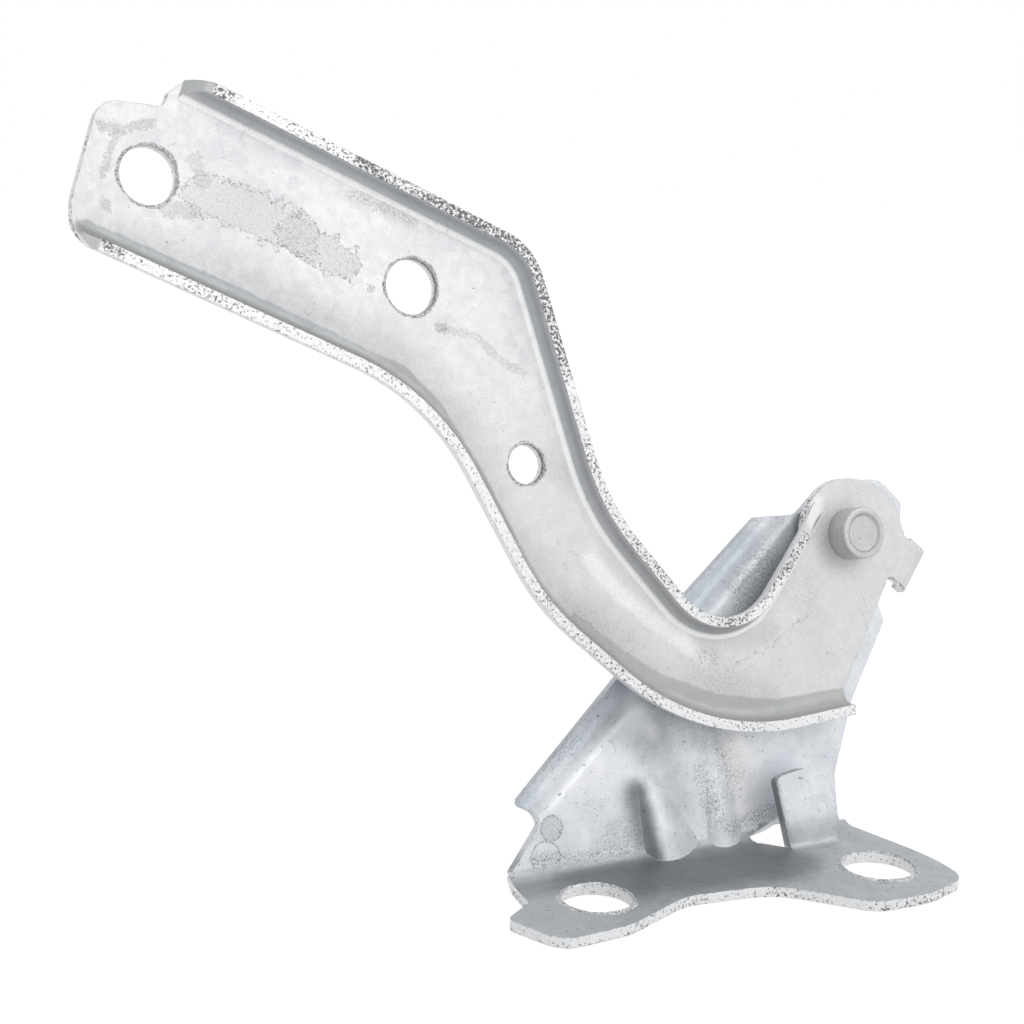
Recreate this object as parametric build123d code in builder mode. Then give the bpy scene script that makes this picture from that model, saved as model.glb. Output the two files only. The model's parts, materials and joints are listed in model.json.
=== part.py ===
from build123d import *
import os
from math import atan2, cos, hypot, radians, sin, tan

os.makedirs("parts", exist_ok=True)

# Frame: X runs along the fold between foot and upright, towards the rear of the
# vehicle, Z is up, and the side that shows the pivot head faces -Y. The origin is
# the centre of the front foot hole, on the underside of the foot.

# Sheet thicknesses
bracket_sheet = 2.1
arm_sheet = 2.2

# Foot: places of the fold, the pivot and the rear hole, from the front hole
fold_y = 14.2
pivot_x = 78.4
rear_hole_x = 63.2
rear_hole_y = -9.2
front_hole_bore = 14.0
rear_hole_bore = 15.0
fold_radius = 3.5
bend_trim = 0.8
fold_back = 4.0

# Upright: it leans back from the foot, and the pivot sits this far up its face
lean = 14.1
pivot_rise = 63.4

# Border of the upright, set back from the panel along the slanting edge
border_slant = 39.4
border_start = 11.8
border_flat = 14.6
border_edge = 18.0
border_depth = 2.4
border_radius = 3.0

# Pivot stack, from the upright outwards
washer_thick = 0.6
washer_diameter = 19.0
bush_flange_thick = 0.6
bush_flange_diameter = 17.0
bush_wall = 0.9
shoulder_diameter = 8.4
bush_running_gap = 0.05
head_diameter = 11.3
head_height = 5.3
head_play = 0.1
head_dish_diameter = 8.8
head_dish_depth = 0.7
head_round = 0.5
neck_diameter = 7.0
neck_gap = 0.1
tail_washer_thick = 1.5
tail_washer_diameter = 16.0
tail_diameter = 12.0
tail_height = 2.8
tail_round = 1.2

# Arm: a pressed channel whose two flanges stand towards the viewer
flange_height = 3.7
flange_root_radius = 3.0
head_radius = 12.4
bolt_hole_bore = 11.0
gauge_hole_bore = 8.0
front_bolt_x, front_bolt_y = -155.1, 75.9
rear_bolt_x, rear_bolt_y = -103.3, 55.3
gauge_x, gauge_y = -80.7, 19.4
front_ramp = 5.0
head_ramp = 9.0

# Stop lug of the arm, bent back past the edge of the upright
lug_leg = 4.4
lug_bend_radius = 1.0
open_stop_angle = -60.0
stop_track_radius = 17.2
stop_track_top = 1.0

# Tab bent up from the foot, which stops the arm when the bonnet closes
tab_front = 7.9
tab_left, tab_right = -25.9, -13.5
tab_height = 15.6
tab_overhang = 2.7
tab_slope = 2.2
tab_left_round = 1.5
tab_right_round = 8.0
tab_root_radius = 1.6
tab_root = 3.5
window_left, window_right = -31.6, -11.6
window_peak = -22.8
window_top = 3.8
window_corner = 0.4
window_side = 1.0
window_shear = 45.0
window_reach = 5.0
window_radius = 4.0

# Gussets pressed across the fold. Their ridge runs from its top on the upright to its
# toe on the foot, and a flank runs down each side of its crest to the same depth.
gusset_depth = 5.0
gusset_rounding = 0.95
gusset_reach = 12.0
gussets = {
    "narrow": {"top_x": -56.8, "toe_x": -53.6, "rise": 19.5, "run": 3.5,
               "crest": 3, "left": 4.2, "right": 13},
    "broad": {"top_x": -38.6, "toe_x": -38.0, "rise": 25, "run": 2.0,
              "crest": 4, "left": 5, "right": 9},
}

# Directions and planes worked out from the sizes above
across = Vector(1, 0, 0)
upwards = Vector(0, sin(radians(lean)), cos(radians(lean)))
outwards = Vector(0, -cos(radians(lean)), sin(radians(lean)))
fold_point = Vector(pivot_x, fold_y, bracket_sheet)
upright_face = Plane(origin=fold_point + upwards * pivot_rise, x_dir=across, z_dir=outwards)
pivot_section = Plane(origin=upright_face.origin, x_dir=across, z_dir=across.cross(outwards))
pivot_axis = Axis(upright_face.origin, outwards)
arm_back_height = washer_thick + bush_flange_thick
arm_back = upright_face.offset(arm_back_height)
arm_front = upright_face.offset(arm_back_height + arm_sheet)
bush_bore = shoulder_diameter + 2 * bush_running_gap
arm_pivot_bore = bush_bore + 2 * bush_wall
far = 60.0

# Outlines seen along the pivot axis, from the pivot: corners as x, y and radius.
# The two long edges of the arm run from its front end to its head.
upper_edge = [
    (-146.6, 94.6, 0),
    (-77.0, 62.9, 13),
    (-64.0, 10.2, 45),
    (-36.6, -23.1, 14.4),
    (-9.5, 8.2, 0),
]
lower_edge = [
    (-166.5, 61.4, 0),
    (-103.1, 32.5, 47),
    (-82.3, -9.7, 50),
    (-45.9, -42.0, 60),
    (-5.1, -39.2, 0),
]
front_end = [
    (-143.4, 97.0, 0),
    (-147.0, 93.4, 1.5),
    (-150.0, 91.4, 0.8),
    (-151.0, 88.6, 2.0),
    (-163.2, 89.7, 4.5),
    (-169.8, 71.0, 6),
    (-169.9, 66.2, 5),
    (-166.5, 60.0, 0),
]
lug_tip = Vector(22.6, -6.3)
lug_heel = Vector(16.1, -14.2)
lug_width = (lug_tip - lug_heel).length
lug_outwards = Vector(lug_tip.Y - lug_heel.Y, lug_heel.X - lug_tip.X) * (1 / lug_width)
lug_fold = lug_outwards * (lug_bend_radius + arm_sheet)
flat_tip = lug_tip - lug_fold
flat_heel = lug_heel - lug_fold
head_plate = [
    upper_edge[-1],
    (2.6, 12.2, 0),
    (12.6, 9.4, 10),
    (15.9, -1.6, 0.8),
    (flat_tip.X, flat_tip.Y, 0),
    (flat_heel.X, flat_heel.Y, 0),
    (10.4, -9.9, 1.2),
    (-5.0, -33.8, 0),
]
upright_outline = [
    (-89.3, -61.6, 0),
    (-80.6, -51.6, 2.4),
    (-86.0, -48.8, 1.2),
    (-46.3, -14.6, 90),
    (-20.4, 5.3, 1.2),
    (-10.8, 5.2, 3),
    (-2.2, 12.1, 9),
    (12.6, 11.8, 8),
    (18.4, 6.0, 1.5),
    (16.6, -4.0, 0),
    (9.2, -16.0, 0),
    (10.6, -20.2, 1),
    (-0.4, -36.8, 20),
    (-5.0, -48.0, 30),
    (-6.8, -61.6, 0),
]

# Outline of the foot seen from above, from the pivot and the fold
foot_outline = [
    (-91.8, -10.6, 1.5),
    (-99.5, -15.6, 2.5),
    (-94.8, -28.6, 6),
    (-79.0, -27.6, 14),
    (-61.5, -20.4, 14),
    (-41.5, -22.8, 16),
    (-27.6, -38.8, 8),
    (-14.0, -39.2, 22),
    (-2.4, -35.4, 6),
    (-0.9, -24.0, 40),
    (-5.4, 0.0, 0),
]


def outline(corners, mode=Mode.ADD):
    """Adds the face inside the given corners to the sketch that is being made."""
    with BuildLine() as edge:
        FilletPolyline(*[(x, y) for x, y, _ in corners], radius=[r for _, _, r in corners], close=True)
    make_face(edge.edges(), mode=mode)


def parallel(corners, distance):
    """Corners of the line that runs a distance to the right of the given one."""
    moved = []
    for i, (x, y, radius) in enumerate(corners):
        before = corners[max(i - 1, 0)]
        after = corners[min(i + 1, len(corners) - 1)]
        into = Vector(x - before[0], y - before[1])
        out = Vector(after[0] - x, after[1] - y)
        into = into.normalized() if i > 0 else out.normalized()
        out = out.normalized() if i < len(corners) - 1 else into
        middle = (into + out).normalized()
        stretch = distance / middle.dot(into)
        turns_left = into.X * out.Y > into.Y * out.X
        grown = radius + distance if turns_left else radius - distance
        moved.append((x + middle.Y * stretch, y - middle.X * stretch, grown if radius else 0))
    return moved


def past(start, end, length):
    """The point that lies a length past end, in line with start."""
    share = length / hypot(end[0] - start[0], end[1] - start[1])
    return (end[0] + (end[0] - start[0]) * share, end[1] + (end[1] - start[1]) * share, 0)


def lying_on(shapes, corners, plane):
    """The edges among shapes that lie on the line through the corners."""
    with BuildLine(plane) as guide:
        FilletPolyline(*[(x, y) for x, y, _ in corners], radius=[r for _, _, r in corners[1:-1]])
    return shapes.filter_by(lambda e: guide.line.distance_to(Vertex(e @ 0.5)) < 0.01)


def ramp(start, towards, length):
    """A wedge that slopes the end of a flange down to the web."""
    heading = Vector(towards[0] - start[0], towards[1] - start[1]).normalized()
    side = across * heading.X + upwards * heading.Y
    place = arm_front.from_local_coords(Vector(start[0], start[1], 0))
    top = flange_height + arm_sheet
    with BuildPart() as wedge:
        with BuildSketch(Plane(origin=place, x_dir=side, z_dir=side.cross(outwards))):
            with BuildLine():
                slope = [(-length, 0), (0, 0), (length, flange_height), (length, top), (-length, top)]
                Polyline(*slope, close=True)
            make_face()
        extrude(amount=flange_root_radius + arm_sheet, both=True)
    return wedge.part


def gusset(top_x, toe_x, rise, run, crest, left, right, inset=0):
    """A rib across the fold, or the hollow in its back, which is inset in its section."""
    top = fold_point + across * top_x + upwards * rise
    toe = fold_point + across * toe_x - Vector(0, run, 0)
    ridge = (top - toe).normalized()
    left_round, right_round = (
        gusset_rounding * crest / 2 / tan(atan2(gusset_depth, flank) / 2) for flank in (left, right)
    )
    left_foot, right_foot = -crest / 2 - left, crest / 2 + right
    section = Plane(origin=(top + toe) * 0.5, x_dir=ridge.cross(outwards), z_dir=ridge * -1)
    with BuildPart() as rib:
        with BuildSketch(section):
            outline([(left_foot, -gusset_reach, 0), (left_foot, -gusset_depth, 0),
                     (-crest / 2, 0, left_round), (crest / 2, 0, right_round),
                     (right_foot, -gusset_depth, 0), (right_foot, -gusset_reach, 0)])
            if inset:
                offset(amount=-inset, kind=Kind.INTERSECTION, mode=Mode.REPLACE)
        extrude(amount=(top - toe).length, both=True)
        if not inset:
            split(bisect_by=Plane(fold_point - outwards * bracket_sheet / 2, z_dir=outwards), keep=Keep.TOP)
            split(bisect_by=Plane((0, 0, bracket_sheet / 2), z_dir=(0, 0, 1)), keep=Keep.TOP)
    return rib.part


# Hinge arm
upper_line = [past(upper_edge[1], upper_edge[0], far), *upper_edge[1:]]
lower_line = [past(lower_edge[1], lower_edge[0], far), *lower_edge[1:]]
upper_root = parallel(upper_line, arm_sheet)
lower_root = parallel(lower_line, -arm_sheet)
lug_middle = arm_front.from_local_coords((lug_tip + lug_heel) * 0.5)
lug_side = across * lug_outwards.X + upwards * lug_outwards.Y

with BuildPart() as pocket:
    with BuildSketch(arm_front):
        flange_end = past(upper_root[-2], upper_root[-1], 3 * arm_sheet)
        web_end = past(lower_root[-2], lower_root[-1], far)
        outline([*upper_root, flange_end, (far, far, 0), web_end, *lower_root[::-1]])
    extrude(amount=flange_height + arm_sheet)
    floor = edges().group_by(pivot_axis)[0]
    fillet(lying_on(floor, upper_root, arm_front), radius=flange_root_radius)
    floor = edges().group_by(pivot_axis)[0]
    fillet(lying_on(floor, lower_root, arm_front), radius=flange_root_radius)

with BuildPart() as hinge_arm:
    with BuildSketch(arm_back):
        outline([*upper_line, (0, 0, 0), head_plate[-1], *lower_line[::-1]])
    extrude(amount=arm_sheet + flange_height)
    back = edges().group_by(pivot_axis)[0]
    fillet(lying_on(back, upper_line, arm_back), radius=flange_root_radius + arm_sheet)
    back = edges().group_by(pivot_axis)[0]
    fillet(lying_on(back, lower_line, arm_back), radius=flange_root_radius + arm_sheet)
    add(pocket.part, mode=Mode.SUBTRACT)

    # Flat head and lug
    with BuildSketch(arm_back):
        outline(head_plate)
        Circle(head_radius)
    extrude(amount=arm_sheet)
    with BuildSketch(Plane(origin=lug_middle, x_dir=lug_side, z_dir=lug_side.cross(outwards))):
        with BuildLine():
            FilletPolyline((-2 * lug_fold.length, 0), (0, 0), (0, -lug_leg), radius=lug_fold.length)
            offset(amount=arm_sheet, side=Side.RIGHT, closed=True)
        make_face()
    extrude(amount=lug_width / 2, both=True)

    # Front end and the sloping ends of the flanges
    with BuildSketch(arm_back):
        outline([*front_end, (-4 * far, 0, 0), (-4 * far, 4 * far, 0), (front_end[0][0], 4 * far, 0)])
    extrude(amount=2 * flange_height + arm_sheet, mode=Mode.SUBTRACT)
    add(ramp(front_end[1], upper_edge[1], front_ramp), mode=Mode.SUBTRACT)
    add(ramp(front_end[-2], lower_edge[1], front_ramp), mode=Mode.SUBTRACT)
    add(ramp(upper_edge[-1], upper_edge[-2], head_ramp), mode=Mode.SUBTRACT)

    # Bonnet bolt holes, gauge hole and pivot bore
    with BuildSketch(arm_back):
        with Locations((front_bolt_x, front_bolt_y), (rear_bolt_x, rear_bolt_y)):
            Circle(bolt_hole_bore / 2)
        with Locations((gauge_x, gauge_y)):
            Circle(gauge_hole_bore / 2)
        Circle(arm_pivot_bore / 2)
    extrude(amount=arm_sheet, mode=Mode.SUBTRACT)

# Base bracket
slant = radians(border_slant)
border_along = across * cos(slant) + upwards * sin(slant)
border_inwards = across * -sin(slant) + upwards * cos(slant)
border_section = Plane(origin=upright_face.origin, x_dir=border_inwards, z_dir=border_along)
fold_section = Plane(origin=(0, fold_y, bracket_sheet), x_dir=(0, 1, 0), z_dir=(1, 0, 0))

with BuildPart() as border:
    with BuildSketch(border_section):
        with BuildLine():
            FilletPolyline((border_start - far, 0), (border_start, 0), (border_flat, -border_depth),
                           (border_edge + far, -border_depth), radius=border_radius)
            offset(amount=bracket_sheet, side=Side.RIGHT, closed=True)
        make_face()
    extrude(amount=3 * far, both=True)
    split(bisect_by=Plane(border_section.origin + border_inwards * (border_start - border_radius),
                          z_dir=border_inwards), keep=Keep.TOP)

with BuildPart() as base_bracket:
    # Foot and panel from one folded sheet, its border set back by a step
    with BuildSketch(fold_section):
        with BuildLine():
            upright_end = (2 * far * sin(radians(lean)), 2 * far * cos(radians(lean)))
            FilletPolyline((-2 * far, 0), (0, 0), upright_end, radius=fold_radius)
            offset(amount=bracket_sheet, side=Side.RIGHT, closed=True)
        make_face()
    extrude(amount=3 * far, both=True)
    with BuildSketch(border_section):
        with Locations((border_start - border_radius, 0)):
            Rectangle(2 * far, 4 * bracket_sheet, align=(Align.MIN, Align.CENTER))
    extrude(amount=3 * far, both=True, mode=Mode.SUBTRACT)
    add(border.part)

    # Trimmed to the outline of the upright above the fold, and of the foot below it
    first, last = upright_outline[0], upright_outline[-1]
    fold_level = -pivot_rise + bend_trim
    with BuildSketch(upright_face):
        outline([(first[0], fold_level, 0), *upright_outline, (last[0], fold_level, 0),
                 (4 * far, fold_level, 0), (4 * far, -4 * far, 0), (-4 * far, -4 * far, 0),
                 (-4 * far, fold_level, 0)])
    extrude(amount=2 * far, both=True, mode=Mode.INTERSECT)
    with BuildSketch(Plane((pivot_x, fold_y, 0))):
        outline([(first[0], fold_back, 0), *foot_outline, (last[0], 0, 0), (last[0], fold_back, 0),
                 (4 * far, fold_back, 0), (4 * far, 4 * far, 0), (first[0], 4 * far, 0)])
    extrude(amount=3 * far, both=True, mode=Mode.INTERSECT)

    # Gussets pressed out of the fold
    for size in gussets.values():
        add(gusset(**size))
        add(gusset(**size, inset=bracket_sheet), mode=Mode.SUBTRACT)

    # Cut-out in which the stop lug swings, down to the shoulder where the arm stops
    with BuildSketch(upright_face):
        with BuildLine() as track:
            stop = radians(open_stop_angle)
            top = (far, stop_track_top)
            bottom = (far * cos(stop), far * sin(stop))
            Polyline((0, 0), top, (far, -far), bottom, close=True)
        make_face(track.edges())
        Circle(stop_track_radius, mode=Mode.SUBTRACT)
    extrude(amount=-2 * bracket_sheet - border_depth, mode=Mode.SUBTRACT)

    # Tab and the window that it leaves in the foot and the upright, whose upper edge is
    # sheared at a slant
    tab_back_y = -(tab_front - bracket_sheet) * cos(radians(lean))
    window_front_y = tab_back_y - bracket_sheet
    with BuildSketch(Plane((pivot_x, fold_y, 0))):
        outline([(window_left, fold_back, 0), (window_left, -window_side, 0),
                 (tab_left, window_front_y, 0), (tab_left, tab_back_y, 0), (window_right, tab_back_y, 0),
                 (window_right, fold_back, 0)])
    extrude(amount=bracket_sheet + window_corner, mode=Mode.SUBTRACT)
    shear = radians(window_shear)
    shear_way = outwards * cos(shear) + upwards * sin(shear)
    with BuildSketch(Plane(origin=fold_point + upwards * window_top, x_dir=across, z_dir=shear_way)):
        corner = (window_corner - window_top) * cos(shear)
        outline([(window_left + window_side, -window_reach, 0), (window_left, corner, 0),
                 (window_peak, 0, window_radius), (window_right, 0, 0),
                 (window_right, -window_reach, 0)])
    extrude(amount=window_reach, both=True, mode=Mode.SUBTRACT)
    with BuildSketch(Plane(fold_point + outwards * tab_front, x_dir=across, z_dir=outwards)):
        outline([(tab_left, -tab_root, 0), (tab_left - tab_overhang, tab_height - tab_slope, tab_left_round),
                 (tab_right, tab_height, tab_right_round), (tab_right, -tab_root, 0)])
    extrude(amount=-bracket_sheet)
    tab_middle_x = pivot_x + (tab_left + tab_right) / 2
    tab_foot = Vertex(tab_middle_x, fold_y - tab_front * cos(radians(lean)), bracket_sheet)
    fillet(edges().filter_by(Axis.X).sort_by_distance(tab_foot)[0], radius=tab_root_radius)

    # Foot holes and pivot hole
    with BuildSketch(Plane.XY):
        Circle(front_hole_bore / 2)
        with Locations((rear_hole_x, rear_hole_y)):
            Circle(rear_hole_bore / 2)
    extrude(amount=bracket_sheet, mode=Mode.SUBTRACT)
    with BuildSketch(upright_face):
        Circle(neck_diameter / 2 + neck_gap)
    extrude(amount=-bracket_sheet, mode=Mode.SUBTRACT)

# Pivot pieces, each turned about the pivot axis
tail_level = -bracket_sheet - tail_washer_thick
shoulder_top = arm_back_height + arm_sheet + head_play
head_top = shoulder_top + head_height

with BuildPart() as pivot_rivet:
    with BuildSketch(pivot_section):
        with BuildLine() as half:
            Polyline((0, tail_level - tail_height),
                     (tail_diameter / 2 - tail_round, tail_level - tail_height),
                     (tail_diameter / 2, tail_level - tail_height + tail_round),
                     (tail_diameter / 2, tail_level),
                     (neck_diameter / 2, tail_level), (neck_diameter / 2, 0), (shoulder_diameter / 2, 0),
                     (shoulder_diameter / 2, shoulder_top), (head_diameter / 2, shoulder_top),
                     (head_diameter / 2, head_top), (0, head_top), close=True)
        make_face(half.edges())
    revolve(axis=pivot_axis)
    rim = edges().filter_by(GeomType.CIRCLE).group_by(pivot_axis)[-1]
    fillet(rim, radius=head_round)
    with BuildSketch(upright_face.offset(head_top)):
        Circle(head_dish_diameter / 2)
    extrude(amount=-head_dish_depth, taper=45, mode=Mode.SUBTRACT)

with BuildPart() as pivot_bush:
    with BuildSketch(upright_face.offset(washer_thick)):
        Circle(bush_flange_diameter / 2)
    extrude(amount=bush_flange_thick)
    with BuildSketch(arm_back):
        Circle(arm_pivot_bore / 2)
    extrude(amount=arm_sheet)
    with BuildSketch(upright_face.offset(washer_thick)):
        Circle(bush_bore / 2)
    extrude(amount=bush_flange_thick + arm_sheet, mode=Mode.SUBTRACT)

with BuildPart() as thrust_washer:
    with BuildSketch(upright_face):
        Circle(washer_diameter / 2)
        Circle(bush_bore / 2, mode=Mode.SUBTRACT)
    extrude(amount=washer_thick)

with BuildPart() as tail_washer:
    with BuildSketch(upright_face.offset(-bracket_sheet)):
        Circle(tail_washer_diameter / 2)
        Circle(neck_diameter / 2 + neck_gap, mode=Mode.SUBTRACT)
    extrude(amount=-tail_washer_thick)

pieces = {
    "hinge_arm": hinge_arm,
    "base_bracket": base_bracket,
    "pivot_rivet": pivot_rivet,
    "pivot_bush": pivot_bush,
    "thrust_washer": thrust_washer,
    "tail_washer": tail_washer,
}
for name, piece in pieces.items():
    piece.part.label = name
    export_step(piece.part, f"parts/{name}.step")
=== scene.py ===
"""Looks of a bonnet hinge: two zinc coated pressings that are joined by a riveted pivot."""

import json
import logging
import math
from dataclasses import dataclass
from enum import Enum
from functools import partial
from typing import ClassVar

import bmesh
import bpy
from mathutils import Matrix, Vector


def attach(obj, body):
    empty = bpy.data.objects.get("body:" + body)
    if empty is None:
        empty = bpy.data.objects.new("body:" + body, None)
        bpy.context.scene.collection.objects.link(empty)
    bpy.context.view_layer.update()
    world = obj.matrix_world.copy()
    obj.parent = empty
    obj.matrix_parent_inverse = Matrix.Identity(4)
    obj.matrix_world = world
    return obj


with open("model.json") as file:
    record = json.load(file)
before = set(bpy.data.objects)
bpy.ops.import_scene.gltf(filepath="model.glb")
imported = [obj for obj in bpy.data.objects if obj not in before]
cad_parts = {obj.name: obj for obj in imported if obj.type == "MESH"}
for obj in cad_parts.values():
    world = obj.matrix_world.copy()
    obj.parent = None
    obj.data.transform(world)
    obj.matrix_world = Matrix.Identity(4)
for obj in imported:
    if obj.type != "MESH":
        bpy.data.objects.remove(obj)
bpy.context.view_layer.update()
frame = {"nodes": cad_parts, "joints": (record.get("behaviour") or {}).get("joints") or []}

MM = 0.001
PER_METRE = 1000.0
WEB_FRONT = 3.4
FLANGE_TOP = 7.1
FOOT_TOP = 2.1
Colour = tuple[float, float, float]
Point = tuple[float, float, float]
Place = tuple[float, float]
# Where a ramp begins and ends, and its values there when they are not 0 and 1.
Ramp = tuple[float, ...]
Socket = bpy.types.NodeSocket
Sockets = bpy.types.bpy_prop_collection
log = logging.getLogger("bonnet_hinge")


class Body(Enum):
    """The two bodies that the pieces ride on."""

    BRACKET = "bracket"
    ARM = "arm"


class Solid(Enum):
    """The solids that come from the model."""

    ARM = "hinge_arm"
    BRACKET = "base_bracket"
    RIVET = "pivot_rivet"
    BUSH = "pivot_bush"
    THRUST_WASHER = "thrust_washer"
    TAIL_WASHER = "tail_washer"


class Slot(Enum):
    """The record's finishes, which each lip keeps but does not take; the lips wear the torn lip material."""

    ARM = "arm_zinc"
    BRACKET = "bracket_zinc"


class Graph:
    """A node tree, with short ways to add its nodes and join them."""

    def __init__(self, tree: bpy.types.NodeTree) -> None:
        """Keeps the tree.

        Args:
            tree: The node tree to add to.
        """
        self.tree = tree

    def feed(self, socket: Socket, value: object) -> None:
        """Joins a socket to another, or sets it.

        Args:
            socket: The input to feed.
            value: The output that feeds it, or its constant.
        """
        if isinstance(value, Socket):
            self.tree.links.new(value, socket)
        else:
            socket.default_value = value

    def add(self, kind: str, feeds: dict | None = None, **settings: object) -> bpy.types.Node:
        """Adds a node.

        Args:
            kind: The node's type, without its ShaderNode in front.
            feeds: What each input gets, by the input's name or number.
            settings: The node's own settings.

        Returns:
            The new node.
        """
        node = self.tree.nodes.new("ShaderNode" + kind)
        for name, setting in settings.items():
            setattr(node, name, setting)
        for key, value in (feeds or {}).items():
            self.feed(node.inputs[key], value)
        return node

    def maths(self, operation: str, *values: object) -> Socket:
        """Works out one number from up to three.

        Args:
            operation: The sum to do, as the Math node names it.
            values: Its numbers or the outputs that give them.

        Returns:
            The result's socket.
        """
        feeds = dict(enumerate(values))
        return self.add("Math", feeds, operation=operation).outputs[0]

    def times(self, first: object, second: object) -> Socket:
        """Multiplies two numbers, and gives the product's socket."""
        return self.maths("MULTIPLY", first, second)

    def part(self, vector: object, axis: str) -> Socket:
        """Takes the X, Y or Z part of a vector."""
        return self.add("SeparateXYZ", {0: vector}).outputs[axis]

    def scaled(self, vector: object, factor: object) -> Socket:
        """Makes a vector longer or shorter by a factor."""
        return self.add("VectorMath", {0: vector, "Scale": factor}, operation="SCALE").outputs["Vector"]

    def vector(self, operation: str, *values: object) -> Socket:
        """Works out a vector, or a number for DOT_PRODUCT, LENGTH and DISTANCE.

        Args:
            operation: The sum to do, as the Vector Math node names it.
            values: Its vectors or the outputs that give them.

        Returns:
            The result's socket.
        """
        node = self.add("VectorMath", dict(enumerate(values)), operation=operation)
        gives_number = operation in ("DOT_PRODUCT", "LENGTH", "DISTANCE")
        return node.outputs["Value" if gives_number else "Vector"]

    def noise(self, place: object, size: object, detail: float = 3.0, rough: float = 0.55,
              twist: float = 0.0) -> Socket:
        """Adds a cloudy pattern.

        Args:
            place: The place, in millimetres.
            size: The size of its features, in millimetres.
            detail: How many finer layers it has.
            rough: How strong the finer layers are.
            twist: How far it is pulled about.

        Returns:
            A value of about 0.5, from 0 to 1.
        """
        scale = 1.0 / size if isinstance(size, float) else self.maths("DIVIDE", 1.0, size)
        feeds = {"Vector": place, "Scale": scale, "Detail": detail, "Roughness": rough,
                 "Distortion": twist}
        return self.add("TexNoise", feeds).outputs["Fac"]

    def ramp(self, value: object, low: object, high: object, start: float = 0.0,
             end: float = 1.0) -> Socket:
        """Turns a range of a value smoothly into another range.

        Args:
            value: The value.
            low: Where the result leaves its start.
            high: Where the result reaches its end.
            start: The result at and below low.
            end: The result at and above high.

        Returns:
            The result's socket.
        """
        feeds = {"Value": value, "From Min": low, "From Max": high, "To Min": start, "To Max": end}
        node = self.add("MapRange", feeds, interpolation_type="SMOOTHSTEP")
        return node.outputs["Result"]

    def cover(self, under: object, over: object, mask: object,
              strength: object = 1.0) -> Socket:
        """Lays one colour over another.

        Args:
            under: The lower colour.
            over: The upper colour.
            mask: Where the upper colour shows.
            strength: How much of it shows there.

        Returns:
            The mixed colour.
        """
        amount = mask if strength == 1.0 else self.times(mask, strength)
        node = self.add("Mix", data_type="RGBA")
        self.feed(node.inputs["Factor"], amount)
        self.feed(node.inputs["A"], as_rgba(under))
        self.feed(node.inputs["B"], as_rgba(over))
        return node.outputs["Result"]


def as_rgba(colour: object) -> object:
    """Gives a written colour its fourth number, and leaves a socket as it is."""
    return (*colour, 1.0) if isinstance(colour, tuple) and len(colour) == 3 else colour


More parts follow.
